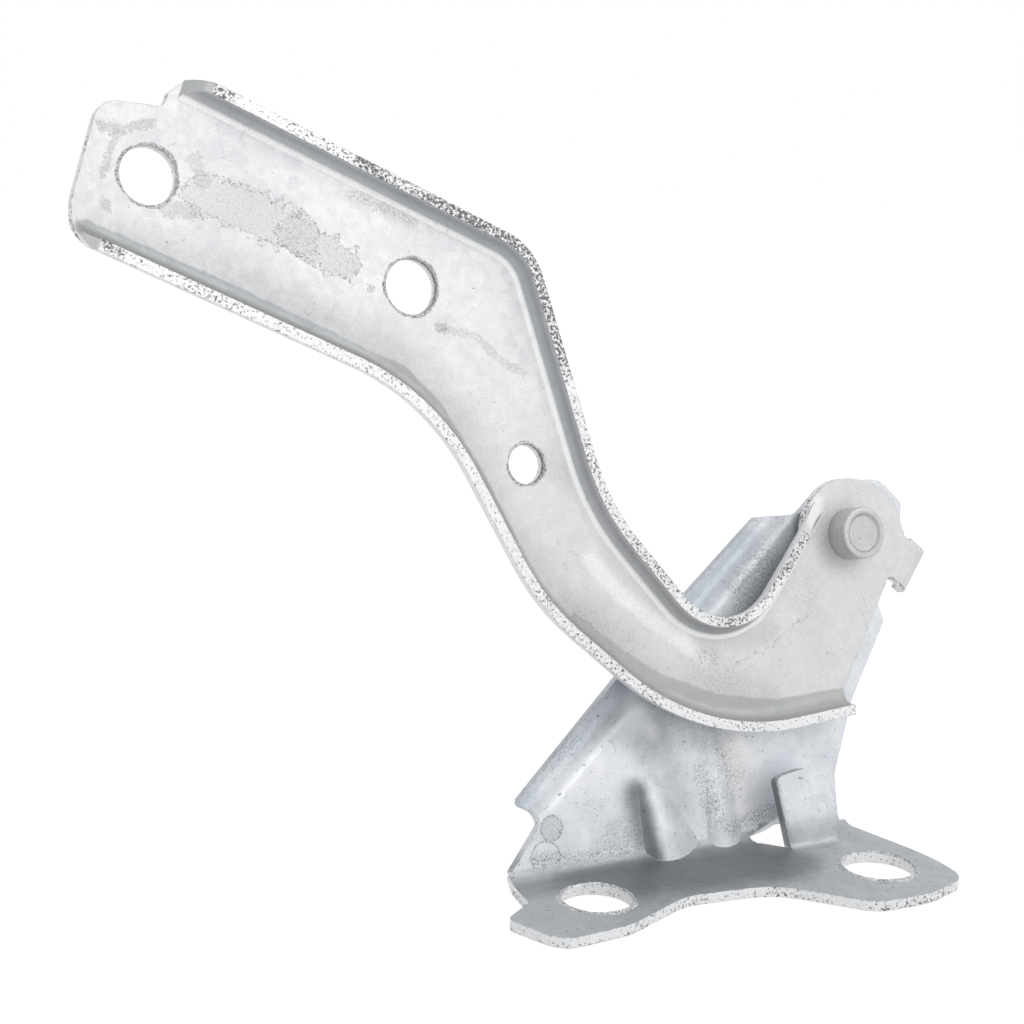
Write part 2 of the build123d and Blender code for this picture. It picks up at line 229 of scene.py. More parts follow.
class Effect:
    """A shader node group that several materials use, built once."""

    built: ClassVar[dict[str, bpy.types.NodeTree]] = {}
    # Sizes are in millimetres, and ramps cut off a noise, a depth or a bend.
    STRETCH: ClassVar[Ramp] = (0.3, 0.7)
    SPECKS: ClassVar[Ramp] = (0.44, 0.60)
    PIT_SIZE: ClassVar[float] = 2.8
    PIT_LEVEL: ClassVar[float] = 0.74
    PIT_EDGE: ClassVar[float] = 0.05
    PITTED_PLACES: ClassVar[Ramp] = (0.36, 0.56)
    HAIR_REACH: ClassVar[float] = 9.0
    HAIR: ClassVar[Ramp] = (0.0, 0.007, 1.0, 0.0)
    HAIRY_PLACES: ClassVar[Ramp] = (0.5, 0.62)
    TEARING: ClassVar[float] = 4.0
    RIM: ClassVar[Ramp] = (0.0, 0.1, 1.0, 0.0)
    DOT_SIZE: ClassVar[float] = 0.35
    DOTS: ClassVar[Ramp] = (0.56, 0.46)
    BREAK_SIZE: ClassVar[float] = 0.65
    BREAK: ClassVar[Ramp] = (0.61, 0.67)
    BREAK_PATCHES: ClassVar[Ramp] = (0.42, 0.66)
    BREAK_BAND: ClassVar[Ramp] = (0.25, 0.75)
    BEND: ClassVar[Ramp] = (0.02, 0.12)
    SCAR_SIZE: ClassVar[float] = 1.1
    SCAR_LEVEL: ClassVar[float] = 0.6
    SCAR_EDGE: ClassVar[float] = 0.06

    @classmethod
    def begin(cls, name: str, takes: dict[str, object],
              gives: dict[str, str]) -> tuple[Graph, Sockets, Sockets]:
        """Starts a group.

        Args:
            name: The group's name.
            takes: Each input's name and its usual value, a number or a vector.
            gives: Each output's name and its socket's type, Float, Vector or Color.

        Returns:
            The group's graph, what it takes and what it gives.
        """
        tree = bpy.data.node_groups.new(name, "ShaderNodeTree")
        for label, usual in takes.items():
            kind = "Vector" if isinstance(usual, tuple) else "Float"
            socket = tree.interface.new_socket(label, in_out="INPUT", socket_type="NodeSocket" + kind)
            socket.default_value = usual
        for label, kind in gives.items():
            tree.interface.new_socket(label, in_out="OUTPUT", socket_type="NodeSocket" + kind)
        cls.built[name] = tree
        taken = tree.nodes.new("NodeGroupInput").outputs
        return Graph(tree), taken, tree.nodes.new("NodeGroupOutput").inputs

    @classmethod
    def use(cls, graph: Graph, name: str, feeds: dict) -> Sockets:
        """Places a group in a material or in another group.

        Args:
            graph: Where it goes.
            name: The group's name.
            feeds: What each of its inputs gets.

        Returns:
            The group's outputs.
        """
        node = graph.add("Group", node_tree=cls.built[name])
        for key, value in feeds.items():
            graph.feed(node.inputs[key], value)
        return node.outputs

    @classmethod
    def build_all(cls) -> None:
        """Builds every group, those that others use first."""
        cls.zinc_skin()
        cls.ragged_streak()
        cls.dotted_ring()
        cls.sheared_edge()
        cls.worn_edge()
        cls.turned_rings()

    @classmethod
    def zinc_skin(cls) -> None:
        """The cloudy tone, the fine grain and the pits of a zinc coating."""
        graph, taken, given = cls.begin(
            "zinc skin",
            {"Place": (0.0, 0.0, 0.0), "Cloud Size": 16.0, "Mottle Size": 2.6, "Grain Size": 0.3,
             "Pitting": 0.5},
            {"Cloud": "Float", "Mottle": "Float", "Grain": "Float", "Specks": "Float",
             "Pits": "Float", "Hairs": "Float", "Height": "Float"},
        )
        place = taken["Place"]
        cloud = graph.noise(place, taken["Cloud Size"], detail=3.0, rough=0.5, twist=0.4)
        mottle = graph.noise(place, taken["Mottle Size"], detail=4.0, rough=0.6, twist=0.8)
        grain = graph.noise(place, taken["Grain Size"], detail=2.0, rough=0.6)
        fine = graph.noise(place, graph.times(taken["Grain Size"], 1.6), detail=3.0, rough=0.75)
        specks = graph.ramp(fine, *cls.SPECKS)
        pits = graph.noise(place, graph.times(taken["Grain Size"], cls.PIT_SIZE), detail=2.0, rough=0.6)
        least = graph.maths("MULTIPLY_ADD", taken["Pitting"], -0.1, cls.PIT_LEVEL)
        pitted = graph.ramp(pits, least, graph.maths("ADD", least, cls.PIT_EDGE))
        pitted = graph.times(pitted, graph.ramp(mottle, *cls.PITTED_PLACES))
        wander = graph.maths("SUBTRACT", graph.noise(place, cls.HAIR_REACH, twist=1.2), 0.5)
        hairs = graph.ramp(graph.maths("ABSOLUTE", wander), *cls.HAIR)
        hairs = graph.times(hairs, graph.ramp(cloud, *cls.HAIRY_PLACES))
        low = graph.maths("MULTIPLY_ADD", mottle, 0.6, graph.times(grain, 0.25))
        height = graph.maths("SUBTRACT", low, graph.times(pitted, 0.2))
        for label, noise in (("Cloud", cloud), ("Mottle", mottle), ("Grain", grain)):
            graph.feed(given[label], graph.ramp(noise, *cls.STRETCH))
        for label, value in (("Specks", specks), ("Pits", pitted), ("Hairs", hairs), ("Height", height)):
            graph.feed(given[label], value)

    @classmethod
    def ragged_streak(cls) -> None:
        """A stain, rub, crease, painted shade or painted highlight that runs from one point to another, with
        a torn outline.
        """
        graph, taken, given = cls.begin(
            "ragged streak",
            {"Place": (0.0, 0.0, 0.0), "Start": (0.0, 0.0, 0.0), "End": (1.0, 0.0, 0.0),
             "Tear": 0.0, "Width": 1.0, "Ragged": 0.4, "Softness": 0.3, "Joined": 9.0},
            {"Mask": "Float", "Rim": "Float", "Edge": "Float"},
        )
        place = taken["Place"]
        run = graph.vector("SUBTRACT", taken["End"], taken["Start"])
        away = graph.vector("SUBTRACT", place, taken["Start"])
        along = graph.maths("DIVIDE", graph.vector("DOT_PRODUCT", away, run),
                            graph.vector("DOT_PRODUCT", run, run))
        along = graph.maths("MAXIMUM", graph.maths("MINIMUM", along, 1.0), 0.0)
        beside = graph.vector("LENGTH", graph.vector("SUBTRACT", away, graph.scaled(run, along)))
        torn = graph.times(taken["Ragged"], cls.TEARING)
        reach = graph.maths("DIVIDE", beside, taken["Width"])
        edge = graph.maths("MULTIPLY_ADD", taken["Tear"], torn, reach)
        edge = graph.maths("MINIMUM", edge, taken["Joined"])
        graph.feed(given["Edge"], edge)
        inner = graph.maths("SUBTRACT", 1.0, taken["Softness"])
        outer = graph.maths("ADD", 1.0, taken["Softness"])
        graph.feed(given["Mask"], graph.ramp(edge, inner, outer, 1.0, 0.0))
        off = graph.maths("ABSOLUTE", graph.maths("SUBTRACT", edge, inner))
        graph.feed(given["Rim"], graph.ramp(off, *cls.RIM))

    @classmethod
    def dotted_ring(cls) -> None:
        """A ring of dark dots, as an old drop leaves."""
        graph, taken, given = cls.begin(
            "dotted ring",
            {"Place": (0.0, 0.0, 0.0), "Middle": (0.0, 0.0, 0.0), "Radius": 2.0, "Width": 0.3,
             "Gaps": 1.0},
            {"Mask": "Float"},
        )
        place = taken["Place"]
        reach = graph.vector("DISTANCE", place, taken["Middle"])
        off = graph.maths("ABSOLUTE", graph.maths("SUBTRACT", reach, taken["Radius"]))
        line = graph.ramp(off, 0.0, taken["Width"], 1.0, 0.0)
        dots = graph.ramp(graph.noise(place, cls.DOT_SIZE, detail=2.0), *cls.DOTS)
        kept = graph.maths("SUBTRACT", 1.0, graph.times(dots, taken["Gaps"]))
        graph.feed(given["Mask"], graph.times(line, kept))

    @classmethod
    def sheared_edge(cls) -> None:
        """The dark broken band and the burnished band of a sheared edge."""
        graph, taken, given = cls.begin(
            "sheared edge",
            {"Place": (0.0, 0.0, 0.0), "Depth": 0.5, "Patch Size": 14.0, "Darkness": 0.5},
            {"Dark": "Float", "Height": "Float"},
        )
        place = taken["Place"]
        fine = graph.noise(place, cls.BREAK_SIZE, detail=4.0, rough=0.75)
        patch = graph.noise(place, taken["Patch Size"], detail=2.0)
        patch = graph.ramp(patch, *cls.BREAK_PATCHES)
        band = graph.ramp(taken["Depth"], *cls.BREAK_BAND)
        level = graph.maths("MULTIPLY_ADD", band, 0.03, graph.times(patch, 0.05))
        level = graph.maths("MULTIPLY_ADD", taken["Darkness"], 0.085, level)
        dark = graph.ramp(graph.maths("ADD", fine, level), *cls.BREAK)
        height = graph.maths("SUBTRACT", graph.times(fine, 0.5), dark)
        graph.feed(given["Dark"], dark)
        graph.feed(given["Height"], height)

    @classmethod
    def worn_edge(cls) -> None:
        """Rounded-over edges: a softened normal and a mask of the places where it bends."""
        graph, taken, given = cls.begin(
            "worn edge",
            {"Place": (0.0, 0.0, 0.0), "Radius": 0.0003, "Ragged": 0.5},
            {"Mask": "Float", "Scars": "Float", "Normal": "Vector"},
        )
        bevel = graph.add("Bevel", {"Radius": taken["Radius"]}, samples=6)
        face = graph.add("NewGeometry").outputs["Normal"]
        bend = graph.maths("SUBTRACT", 1.0, graph.vector("DOT_PRODUCT", bevel.outputs[0], face))
        bent = graph.ramp(bend, *cls.BEND)
        torn = graph.noise(taken["Place"], cls.SCAR_SIZE, detail=4.0, rough=0.7)
        scarred = graph.maths("MULTIPLY_ADD", taken["Ragged"], -0.16, cls.SCAR_LEVEL)
        scars = graph.ramp(torn, scarred, graph.maths("ADD", scarred, cls.SCAR_EDGE))
        graph.feed(given["Scars"], graph.times(bent, scars))
        whole = graph.maths("SUBTRACT", 1.0, scars)
        graph.feed(given["Mask"], graph.times(bent, whole))
        graph.feed(given["Normal"], bevel.outputs[0])

    @classmethod
    def turned_rings(cls) -> None:
        """Fine rings round the pivot's axis, as turning and riveting leave them."""
        graph, taken, given = cls.begin(
            "turned rings", {"Place": (0.0, 0.0, 0.0), "Ring Size": 0.35},
            {"Rings": "Float", "Radius": "Float"},
        )
        parts = graph.add("SeparateXYZ", {0: taken["Place"]})
        flat = graph.add("CombineXYZ", {"X": parts.outputs["X"], "Y": parts.outputs["Y"]})
        radius = graph.vector("LENGTH", flat.outputs[0])
        spread = graph.add("CombineXYZ", {"X": radius, "Y": parts.outputs["Z"]})
        rings = graph.noise(spread.outputs[0], taken["Ring Size"], detail=3.0, rough=0.6)
        graph.feed(given["Rings"], rings)
        graph.feed(given["Radius"], radius)


@dataclass(frozen=True)
class SheetPlane:
    """The plane of the upright: x runs across it, y up it and z out of it, from the pivot."""

    pivot: Vector
    outwards: Vector

    @classmethod
    def of_joint(cls, joint: dict) -> "SheetPlane":
        """Takes the plane from the pivot's joint.

        Args:
            joint: The joint's row in the record.

        Returns:
            The plane.
        """
        return cls(Vector(joint["pos_m"]), -Vector(joint["axis"]).normalized())

    @property
    def turn(self) -> float:
        """The turn about the x axis that lays the plane flat, in radians."""
        return -math.acos(max(-1.0, min(1.0, self.outwards.z)))

    @property
    def upwards(self) -> Vector:
        """The direction up the plane."""
        return self.outwards.cross(Vector((1.0, 0.0, 0.0)))

    def place(self, across: float, up: float, out: float) -> Vector:
        """Gives a point of the plane in the shared frame.

        Args:
            across: How far along the plane, in millimetres from the pivot.
            up: How far up it.
            out: How far out of it.

        Returns:
            The point, in metres.
        """
        run = Vector((across, 0.0, 0.0)) + self.upwards * up + self.outwards * out
        return self.pivot + run * MM

    def nodes(self, graph: Graph) -> tuple[Socket, Socket]:
        """Adds the nodes that give a place and a direction in the plane.

        Args:
            graph: The material's graph.

        Returns:
            The place in millimetres, and the face's direction.
        """
        source = graph.add("TexCoord")
        spin = Matrix.Rotation(self.turn, 3, "X")
        moved = -(spin @ self.pivot) * PER_METRE
        feeds = {"Vector": source.outputs["Object"], "Location": moved,
                 "Rotation": (self.turn, 0.0, 0.0), "Scale": (PER_METRE,) * 3}
        place = graph.add("Mapping", feeds, vector_type="POINT")
        feeds = {"Vector": source.outputs["Normal"], "Rotation": (self.turn, 0.0, 0.0)}
        facing = graph.add("Mapping", feeds, vector_type="VECTOR")
        return place.outputs[0], facing.outputs[0]


class Tear(Enum):
    """How coarse the torn outline of a mark is, in millimetres."""

    FINE = 0.9
    MIDDLE = 2.2
    BROAD = 5.0


@dataclass(frozen=True)
class Mark:
    """A stain, rub, crease, painted shade or painted highlight on a pressing, led through its points as one
    outline.
    """

    points: tuple[Point, ...]
    width: float
    strength: float
    colour: Colour
    ragged: float = 0.4
    tear: Tear = Tear.FINE
    softness: float = 0.3
    speckle: float = 0.0
    rim: float = 0.0
    patchy: float = 0.0
    sways: bool = False


GREY = (0.34, 0.335, 0.325)
# A grey for grain and dust, and for painted shade along the arm's flange roots, under the arm and on the
# gussets.
DUST_AND_SHADE_GREY = (0.30, 0.31, 0.32)
BLUE_GREY = (0.47, 0.515, 0.58)
BROWN = (0.36, 0.32, 0.30)
# Painted shade: the greys laid along the lower flange's root bend.
ROOT_SHADE = (0.37, 0.383, 0.395)
DEEP_ROOT_SHADE = (0.34, 0.35, 0.36)
# A dark grey for the foot's random mottle, and for painted shade on the foot, a gusset's flank and the tab's
# side.
FOOT_MOTTLE_AND_SHADE = (0.20, 0.212, 0.225)
SOOT = (0.075, 0.078, 0.082)
# A bright tone for burnished and worn edges, and for painted highlights on the arm and the bracket.
BURNISH_AND_HIGHLIGHT = (0.93, 0.935, 0.945)


def at(out: float, *places: Place) -> tuple[Point, ...]:
    """Gives points that are all as far out of the plane.

    Args:
        out: How far out they are, in millimetres.
        places: How far across and up each is.

    Returns:
        The points.
    """
    return tuple((across, up, out) for across, up in places)


def old_stain(points: tuple[Point, ...], width: float, strength: float = 0.55) -> Mark:
    """Describes a grey stain with a torn outline and a dark rim.

    Args:
        points: The points that it runs through.
        width: How far it reaches to each side, in millimetres.
        strength: How much of it shows.

    Returns:
        The mark.
    """
    return Mark(points, width, strength, GREY, 0.3 + 0.5 / width, Tear.FINE, 0.08, 0.55, 0.4)


# The other kinds of marks that come up more than once: a soft grey place, used both for dust and for painted
# shade, a cluster of black specks, a thin dark crease that sways, and a stretch of a sheared edge that broke
# darker.
dust_and_shade = partial(Mark, colour=DUST_AND_SHADE_GREY, ragged=0.25, tear=Tear.MIDDLE, softness=0.75, speckle=0.4)
dust = partial(Mark, colour=SOOT, ragged=0.5, softness=0.6, speckle=1.0)
crack = partial(Mark, colour=SOOT, ragged=0.5, tear=Tear.MIDDLE, softness=0.6, speckle=0.5, sways=True)
dark_stretch = partial(Mark, colour=SOOT, ragged=0.3, tear=Tear.BROAD)


class Coat:
    """A metal coating under a material's graph, and what is laid over its colour."""

    SWAY: ClassVar[float] = 5.0
    FAR_OFF: ClassVar[float] = 9.0
    EDGE_RADIUS: ClassVar[float] = 0.0003
    BRIGHT_BREAK: ClassVar[float] = 0.85
    DARK_BREAK: ClassVar[float] = 0.95
    LAYERS: ClassVar[tuple[tuple[str, float, Colour], ...]] = (
        ("Grain", 0.16, DUST_AND_SHADE_GREY), ("Hairs", 0.3, SOOT), ("Pits", 0.75, SOOT), ("Mask", 0.5, BURNISH_AND_HIGHLIGHT),
        ("Scars", 0.7, SOOT),
    )

    def __init__(self, graph: Graph, place: object, **sizes: float) -> None:
        """Adds the skin and the torn patterns that the marks share.

        Args:
            graph: The material's graph.
            place: The place, in millimetres.
            sizes: The sizes of the skin's patterns, such as cloud_size.
        """
        named = {label.replace("_", " ").title(): size for label, size in sizes.items()}
        self.graph = graph
        self.place = place
        self.skin = Effect.use(graph, "zinc skin", {"Place": place, **named})
        torn = {tear: graph.noise(place, tear.value, detail=4.0, rough=0.65) for tear in Tear}
        self.tears = {tear: graph.maths("SUBTRACT", noise, 0.5) for tear, noise in torn.items()}
        sway = graph.add("CombineXYZ", {"X": self.tears[Tear.BROAD], "Y": self.tears[Tear.MIDDLE]})
        self.swayed = graph.vector("ADD", place, graph.scaled(sway.outputs[0], self.SWAY))

    def outline(self, mark: Mark) -> Sockets:
        """Adds a mark's outline, with a node for each stretch between its points.

        Args:
            mark: The mark.

        Returns:
            The last stretch's outputs, with the whole outline's mask and rim.
        """
        place = self.swayed if mark.sways else self.place
        joined = self.FAR_OFF
        for start, end in zip(mark.points, mark.points[1:]):
            feeds = {"Place": place, "Tear": self.tears[mark.tear], "Start": start, "End": end,
                     "Width": mark.width, "Ragged": mark.ragged, "Softness": mark.softness,
                     "Joined": joined}
            stretch = Effect.use(self.graph, "ragged streak", feeds)
            joined = stretch["Edge"]
        return stretch

    def lay(self, tone: object, marks: tuple[Mark, ...]) -> Socket:
        """Lays stains, rubs, creases, painted shade and painted highlights over a tone, in order.

        Args:
            tone: The colour below them.
            marks: The marks.

        Returns:
            The colour with the marks on it.
        """
        graph = self.graph
        for mark in marks:
            outline = self.outline(mark)
            amount = graph.maths("MULTIPLY_ADD", self.skin["Specks"], mark.speckle, 1.0 - mark.speckle)
            amount = graph.times(amount, outline["Mask"])
            if mark.patchy:
                gaps = graph.maths("MULTIPLY_ADD", self.skin["Mottle"], -mark.patchy, 1.0)
                amount = graph.times(amount, gaps)
            tone = graph.cover(tone, mark.colour, amount, mark.strength)
            if mark.rim:
                tone = graph.cover(tone, SOOT, graph.times(outline["Rim"], self.skin["Specks"]), mark.rim)
        return tone

    def ring(self, tone: object, middle: Point, radius: float, width: float = 0.4,
             gaps: float = 1.0, strength: float = 0.7) -> Socket:
        """Lays a dark ring over a tone, such as an old drop or a punch leaves.

        Args:
            tone: The colour below it.
            middle: The ring's middle.
            radius: Its radius, in millimetres.
            width: How far it fades to each side.
            gaps: How broken it is, from 0 to 1.
            strength: How much of it shows.

        Returns:
            The colour with the ring on it.
        """
        feeds = {"Place": self.place, "Middle": middle, "Radius": radius, "Width": width,
                 "Gaps": gaps}
        return self.graph.cover(tone, SOOT, Effect.use(self.graph, "dotted ring", feeds)["Mask"], strength)

    def shear(self, tone: object, cut: object, depth: object, darkness: object,
              patches: tuple[Mark, ...], dulling: float = 0.0) -> tuple[Socket, Socket]:
        """Lays the bright beads and the dark breaks of a sheared edge over a tone.

        Args:
            tone: The colour below them.
            cut: Where the sheared edges are.
            depth: How deep in the sheet it is, from 0 to 1.
            darkness: How dark the edges are as a rule.
            patches: The stretches that are darker.
            dulling: How much the darker stretches lose their shine.

        Returns:
            The colour and the height of the edges.
        """
        graph = self.graph
        for patch in patches:
            reach = graph.times(self.outline(patch)["Mask"], patch.strength)
            darkness = graph.maths("MAXIMUM", darkness, reach)
        feeds = {"Place": self.place, "Depth": depth, "Darkness": darkness}
        sheared = Effect.use(graph, "sheared edge", feeds)
        tone = graph.cover(tone, BURNISH_AND_HIGHLIGHT, cut, self.BRIGHT_BREAK)
        if dulling:
            tone = graph.cover(tone, GREY, graph.times(cut, darkness), dulling)
        tone = graph.cover(tone, SOOT, graph.times(cut, sheared["Dark"]), self.DARK_BREAK)
        return tone, graph.times(cut, sheared["Height"])

    def weather(self, tone: object, ragged: float) -> tuple[Socket, Socket]:
        """Lays the grain, the hair lines, the pits and the worn edges over a tone.

        Args:
            tone: The colour below them.
            ragged: How much of each edge is scarred, from 0 to 1.

        Returns:
            The colour, and the normal with its edges rounded.
        """
        feeds = {"Place": self.place, "Radius": self.EDGE_RADIUS, "Ragged": ragged}
        edge = Effect.use(self.graph, "worn edge", feeds)
        for label, strength, colour in self.LAYERS:
            mask = (edge if label in edge else self.skin)[label]
            tone = self.graph.cover(tone, colour, mask, strength)
        return tone, edge["Normal"]


class Finish:
    """What every metal finish here shares: its roughness and its bump."""

    roughness: float
    swing: float
    metallic: float
    bump: float
    relief: float

    def start(self, name: str) -> tuple[bpy.types.Material, Graph]:
        """Starts a material.

        Args:
            name: The material's name.

        Returns:
            The material and its graph.
        """
        material = bpy.data.materials.new(name)
        material.use_nodes = True
        return material, Graph(material.node_tree)

    def rough(self, graph: Graph, pattern: object) -> Socket:
        """Gives a roughness that swings with a pattern."""
        return graph.maths("MULTIPLY_ADD", pattern, self.swing, self.roughness - self.swing / 2)

    def settle(self, graph: Graph, tone: object, rough: object, height: object, **normal: object) -> None:
        """Feeds a material's surface shader.

        Args:
            graph: The material's graph.
            tone: The colour.
            rough: The roughness.
            height: The height that the bump takes.
            normal: The normal that it starts from, if it isn't the surface's own.
        """
        surface = graph.tree.nodes["Principled BSDF"]
        graph.feed(surface.inputs["Base Color"], tone)
        graph.feed(surface.inputs["Roughness"], rough)
        surface.inputs["Metallic"].default_value = self.metallic
        feeds = {"Height": height, "Strength": self.bump, "Distance": self.relief, **normal}
        graph.feed(surface.inputs["Normal"], graph.add("Bump", feeds).outputs[0])


@dataclass(frozen=True)
class PunchedHole:
    """A punched hole, with the lip and the dark ring that the punch left round it."""

    name: str
    across: float
    up: float
    bore: float
    ring_width: float = 0.0
    ring_strength: float = 0.0


@dataclass(frozen=True)
class ArmFinish(Finish):
    """Bright zinc on the arm, duller towards its head, with old stains, painted shade inside its flanges and
    along their roots, and painted highlights on its bend and flange walls.
    """

    plane: SheetPlane
    holes: tuple[PunchedHole, ...]
    bright: Colour = (0.79, 0.80, 0.81)
    cloud: Colour = (0.63, 0.64, 0.66)
    head: Colour = (0.75, 0.745, 0.74)
    # Painted shade for the insides of the lower and upper flanges.
    lower_flange_shade: Colour = (0.36, 0.37, 0.365)
    upper_flange_shade: Colour = (0.35, 0.365, 0.38)
    cloudiness: float = 0.5
    headiness: float = 0.7
    mottling: float = 0.38
    ring_gaps: float = 0.35
    scarred: float = 0.55
    roughness: float = 0.42
    swing: float = 0.12
    metallic: float = 0.45
    bump: float = 0.35
    relief: float = 0.00022
    skin_relief: float = 0.7
    web_back: float = 1.2
    flange_tip: float = 6.9
    rim_darkness: float = 0.35
    dulling: float = 0.12
    head_slant: float = 0.8
    head_reach: Ramp = (-95.0, -30.0)
    head_roughness: float = 0.08
    flange_lean: float = 0.6
    flange_sides: Ramp = (-0.02, 0.02)
    root_depth: float = 0.04
    # The ramps below, to the outer walls' ramp, shape the painted shade and painted highlights on the
    # flanges.
    lower_shade: Ramp = (0.93, 0.995, 0.85, 0.3)
    lower_fade: Ramp = (-60.0, -35.0, 1.0, 0.75)
    root_highlight: Ramp = (0.82, 0.9)
    root_end: Ramp = (0.975, 0.995, 0.9, 0.0)
    upper_shade: Ramp = (0.8, 0.92, 1.0, 0.0)
    upper_shade_gain: Ramp = (-120.0, -80.0, 0.6, 0.7)
    upper_tip: Ramp = (5.6, 6.3, 1.0, 0.3)
    outer_highlight: Ramp = (0.3, 0.8, 0.9, 0.0)
    rim_slope: Ramp = (0.1, 0.3, 1.0, 0.0)
    rim_fade: float = 0.2
    tip_slope: Ramp = (0.5, 0.8)
    tip_fade: float = 0.1
    middle_start: float = 76.0
    middle_falls: tuple[Ramp, ...] = (
        (-165.0, -95.0, 0.0, 28.0), (-95.0, -66.0, 0.0, 58.0), (-66.0, -40.0, 0.0, 16.0),
    )
    middle_edge: Ramp = (-0.5, 0.5)
    marks: tuple[Mark, ...] = (
        # Painted shade along the web's lower side, where it bends into the lower flange, at the front and at
        # the U.
        Mark(at(WEB_FRONT, (-163.2, 62.5), (-137.0, 53.4), (-109.1, 40.6), (-97.0, 28.0), (-88.0, 4.0),
             (-70.0, -20.0)), 5.5, 0.42, DUST_AND_SHADE_GREY, 0.12, Tear.BROAD, 0.9, 0.2),
        Mark(at(WEB_FRONT, (-70.0, -14.0), (-53.0, -31.0), (-28.0, -35.0)), 5.5, 0.42, DUST_AND_SHADE_GREY, 0.15,
             Tear.MIDDLE, 0.9, 0.5),
        # Painted highlight: a soft sheen along the bend of the upper flange's root.
        Mark(at(WEB_FRONT, (-67.5, -0.8), (-60.8, -8.5), (-51.1, -16.2), (-41.0, -23.4)), 1.7, 0.85, BURNISH_AND_HIGHLIGHT,
             0.32, Tear.FINE, 0.6, 0.35),
        # Painted shade: grey bands along the lower flange's root bend.
        Mark(at(WEB_FRONT, (-167.5, 65.8), (-139.4, 53.4), (-116.0, 42.4)), 1.8, 0.9, ROOT_SHADE, 0.14, Tear.MIDDLE,
             0.18),
        Mark(at(WEB_FRONT, (-116.0, 42.4), (-106.9, 38.6), (-100.1, 31.6), (-91.0, 16.0), (-85.7, 4.2)), 1.5,
             0.8, DEEP_ROOT_SHADE, 0.14, Tear.MIDDLE, 0.2),
        Mark(at(WEB_FRONT, (-72.3, -12.9), (-62.4, -21.0), (-52.8, -27.1), (-39.5, -32.6), (-24.0, -35.6),
             (-6.0, -35.0)), 1.5, 0.6, DEEP_ROOT_SHADE, 0.14, Tear.MIDDLE, 0.25),
        Mark(at(WEB_FRONT, (-144.5, 72.4), (-133.0, 68.4), (-126.0, 65.4)), 4.4, 0.5, GREY, 0.45, Tear.MIDDLE,
             0.08, 0.7, 0.7, 0.8),
        Mark(at(WEB_FRONT, (-127.0, 65.2), (-118.0, 60.4)), 3.8, 0.7, GREY, 0.55, Tear.MIDDLE, 0.08, 0.65,
             0.8, 0.7),
        old_stain(at(WEB_FRONT, (-146.0, 78.8), (-144.5, 75.0)), 1.5, 0.4),
        old_stain(at(WEB_FRONT, (-152.0, 69.6), (-147.0, 69.4)), 1.5, 0.4),
        old_stain(at(WEB_FRONT, (-163.2, 84.6), (-159.6, 83.9)), 1.0),
        old_stain(at(WEB_FRONT, (-157.6, 84.6), (-153.6, 85.4)), 0.9),
        old_stain(at(WEB_FRONT, (-160.5, 83.6), (-163.6, 76.0)), 0.7),
        old_stain(at(WEB_FRONT, (-163.9, 71.0), (-163.2, 69.8)), 0.8),
        old_stain(at(WEB_FRONT, (-112.2, 55.0), (-111.8, 54.9)), 0.8, 0.7),
        old_stain(at(WEB_FRONT, (-97.9, 47.4), (-97.0, 47.2)), 0.9, 0.7),
        Mark(at(WEB_FRONT, (-97.0, 47.0), (-89.7, 45.3), (-84.8, 40.5), (-79.7, 37.7)), 0.8, 0.4, GREY, 0.9,
             Tear.FINE, 0.2, 0.7, 0.3),
        dust_and_shade(at(WEB_FRONT, (-77.0, 20.4), (-71.4, 16.3)), 3.0, 0.3, speckle=0.7),
        dust(at(WEB_FRONT, (-41.5, -23.0), (-39.6, -23.6)), 1.6, 0.5),
        dust_and_shade(at(WEB_FRONT, (-44.0, -26.0), (-34.0, -29.0)), 3.0, 0.3, speckle=0.9),
        dust(at(WEB_FRONT, (-114.3, 73.0), (-101.7, 68.0)), 1.2, 0.4),
        dust_and_shade(at(WEB_FRONT, (-41.0, -20.0), (-24.0, -19.0)), 2.6, 0.3),
        dust_and_shade(at(WEB_FRONT, (-12.5, -15.2), (-10.5, -25.2)), 3.5, 0.16, speckle=0.8),
        Mark(at(WEB_FRONT, (-1.6, -0.6), (-1.0, -0.6)), 8.0, 0.4, GREY, 0.12, Tear.FINE, 0.3, 0.5),
        crack(at(WEB_FRONT, (-36.3, -26.8), (-30.3, -24.4), (-22.7, -22.8), (-19.9, -19.7), (-12.9, -17.0)),
             0.12, 0.5),
        dust(at(WEB_FRONT, (-21.0, -9.0), (-14.0, -10.0)), 4.0, 0.16),
        Mark(at(4.6, (-12.0, 3.4), (-8.0, 7.6)), 2.0, 0.8, BURNISH_AND_HIGHLIGHT, 0.15, Tear.FINE, 0.5),
    )
    dark_tips: tuple[Mark, ...] = (
        dark_stretch(at(FLANGE_TOP, (-111.3, 78.6), (-79.6, 62.6)), 3.4, 1.0),
        dark_stretch(at(FLANGE_TOP, (-79.6, 62.6), (-72.8, 37.8)), 3.4, 0.8),
        dark_stretch(at(FLANGE_TOP, (-72.0, 30.0), (-62.0, 8.0)), 3.4, 0.45),
        dark_stretch(((-150.4, 91.4, 5.0), (-141.4, 91.3, 7.1)), 3.4, 0.9),
        dark_stretch(((-168.0, 65.4, 4.0), (-163.0, 62.0, 5.5)), 2.4, 0.8),
        dark_stretch(at(FLANGE_TOP, (-58.0, 2.0), (-36.5, -15.8)), 3.4, 0.6),
        dark_stretch(at(FLANGE_TOP, (-36.5, -15.8), (-14.3, 2.3)), 3.4, 1.0),
    )

